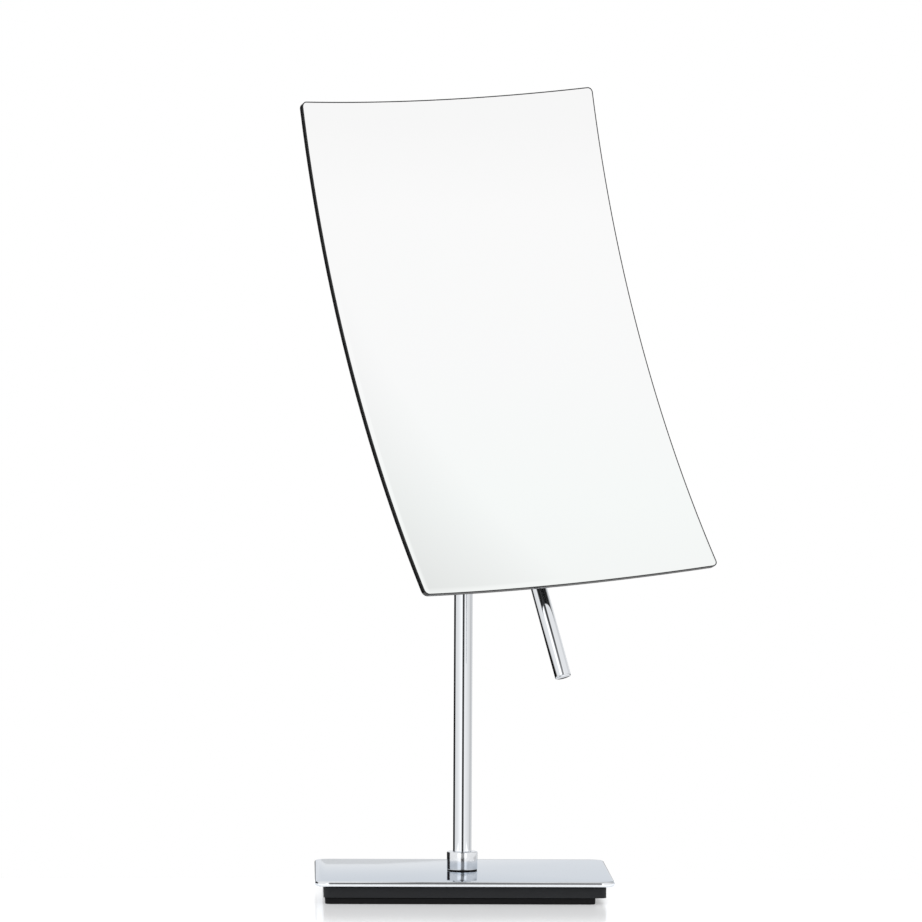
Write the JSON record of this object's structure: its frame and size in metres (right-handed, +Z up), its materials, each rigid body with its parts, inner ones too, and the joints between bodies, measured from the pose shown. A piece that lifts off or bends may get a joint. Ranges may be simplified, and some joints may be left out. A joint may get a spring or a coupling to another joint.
{
  "type": "countertop mirror",
  "caption": "Free-standing concave rectangular mirror on a ball joint, with a round stem, a weighted rectangular base and a hand lever.",
  "frame": {"origin": "under the stem's axis, on the surface that the mirror stands on", "axes": "+Z up along the stem, +X along the base's long side, -Y towards the front of the base"},
  "size_m": [0.2254, 0.1965, 0.4393],
  "materials": {
    "polished_chrome": "mirror-polished chrome plate",
    "silvered_glass": "concave silvered glass, clean",
    "black_plastic": "black moulded plastic, satin",
    "black_gloss": "smooth black moulded plastic, glossy",
    "black_rubber": "black foamed rubber, matte",
    "plain_steel": "plain machined steel",
    "nylon": "natural nylon, satin",
    "adhesive_foam": "thin white foam tape"
  },
  "bodies": {
    "stand": {"non_slip_pad": "black_rubber", "base_tray": "black_plastic", "ballast_plate": "plain_steel", "base_plate": "polished_chrome", "tray_screw_1": "plain_steel", "tray_screw_2": "plain_steel", "tray_screw_3": "plain_steel", "tray_screw_4": "plain_steel", "collar_gasket": "black_rubber", "collar": "polished_chrome", "stem_tube": "polished_chrome", "stem_bottom_plug": "plain_steel", "stem_washer": "plain_steel", "stem_screw": "plain_steel", "stem_top_bush": "nylon"},
    "ball": {"ball_stud": "plain_steel", "thrust_washer": "nylon", "retaining_ring": "plain_steel"},
    "seats": {"front_seat": "nylon", "rear_seat": "nylon"},
    "mirror_head": {"spring_washer": "plain_steel", "socket_housing": "polished_chrome", "hub_plate": "plain_steel", "hub_screw_1": "plain_steel", "hub_screw_2": "plain_steel", "hub_screw_3": "plain_steel", "back_shell": "black_gloss", "glass_tape": "adhesive_foam", "mirror_glass": "silvered_glass", "handle_rod": "polished_chrome", "handle_socket": "polished_chrome", "handle_set_screw": "plain_steel"}
  },
  "joints": [
    {"name": "head_swivel", "type": "hinge", "parent": "stand", "child": "ball", "pos_m": [0, 0, 0.2853], "axis": [0, 0, 1], "continuous": true},
    {"name": "head_tilt", "type": "hinge", "parent": "ball", "child": "seats", "pos_m": [0, 0, 0.2853], "axis": [0.8707, 0.4918, 0], "range_deg": [-28.5, 20.5]},
    {"name": "head_roll", "type": "hinge", "parent": "seats", "child": "mirror_head", "pos_m": [0, 0, 0.2853], "axis": [-0.4587, 0.8121, -0.3606], "range_deg": [-6, 13.5]}
  ]
}
